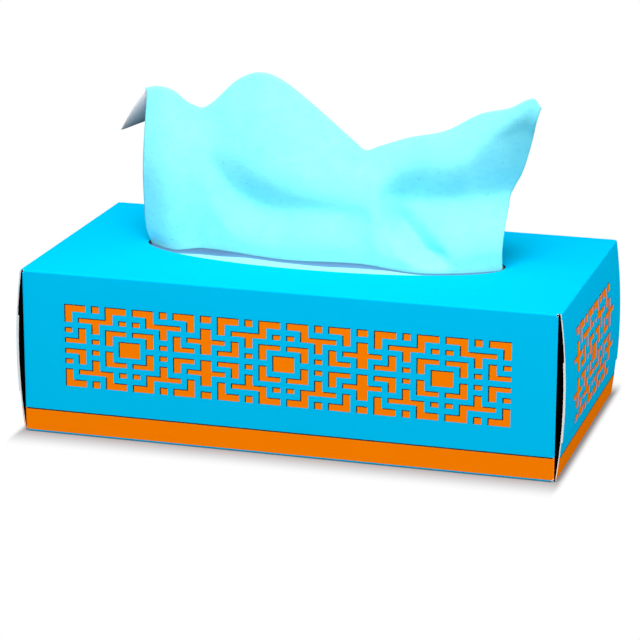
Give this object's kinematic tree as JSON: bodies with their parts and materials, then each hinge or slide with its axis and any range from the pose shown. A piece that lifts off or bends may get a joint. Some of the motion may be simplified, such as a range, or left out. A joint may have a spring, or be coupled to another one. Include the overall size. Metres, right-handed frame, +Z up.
{
  "type": "tissue box",
  "caption": "Flat board carton of facial tissues with a fret lattice on its sides, a band round the foot, and one tissue drawn up through the film slit in an oval top slot.",
  "frame": {"origin": "middle of the bottom panel's outer face, on the surface that the carton stands on", "axes": "+X along the carton to its right end as seen from the front, +Y from the front panel to the back panel, +Z up"},
  "size_m": [0.2328, 0.119, 0.1455],
  "materials": {
    "carton_board": "coated satin board printed cyan outside, raw white inside",
    "clear_film": "thin translucent film",
    "stack_paper": "soft folded tissue",
    "tissue_paper": "soft pale cyan tissue",
    "orange_ink": "printed ink",
    "dark_ink": "printed ink"
  },
  "bodies": {
    "root": {"carton": "carton_board", "slot_film": "clear_film", "tissue_stack": "stack_paper", "pulled_tissue": "tissue_paper", "front_print": "orange_ink", "back_print": "orange_ink", "left_end_print": "orange_ink", "right_end_print": "orange_ink", "front_edging": "dark_ink", "back_edging": "dark_ink", "left_end_edging": "dark_ink", "right_end_edging": "dark_ink"}
  },
  "joints": []
}
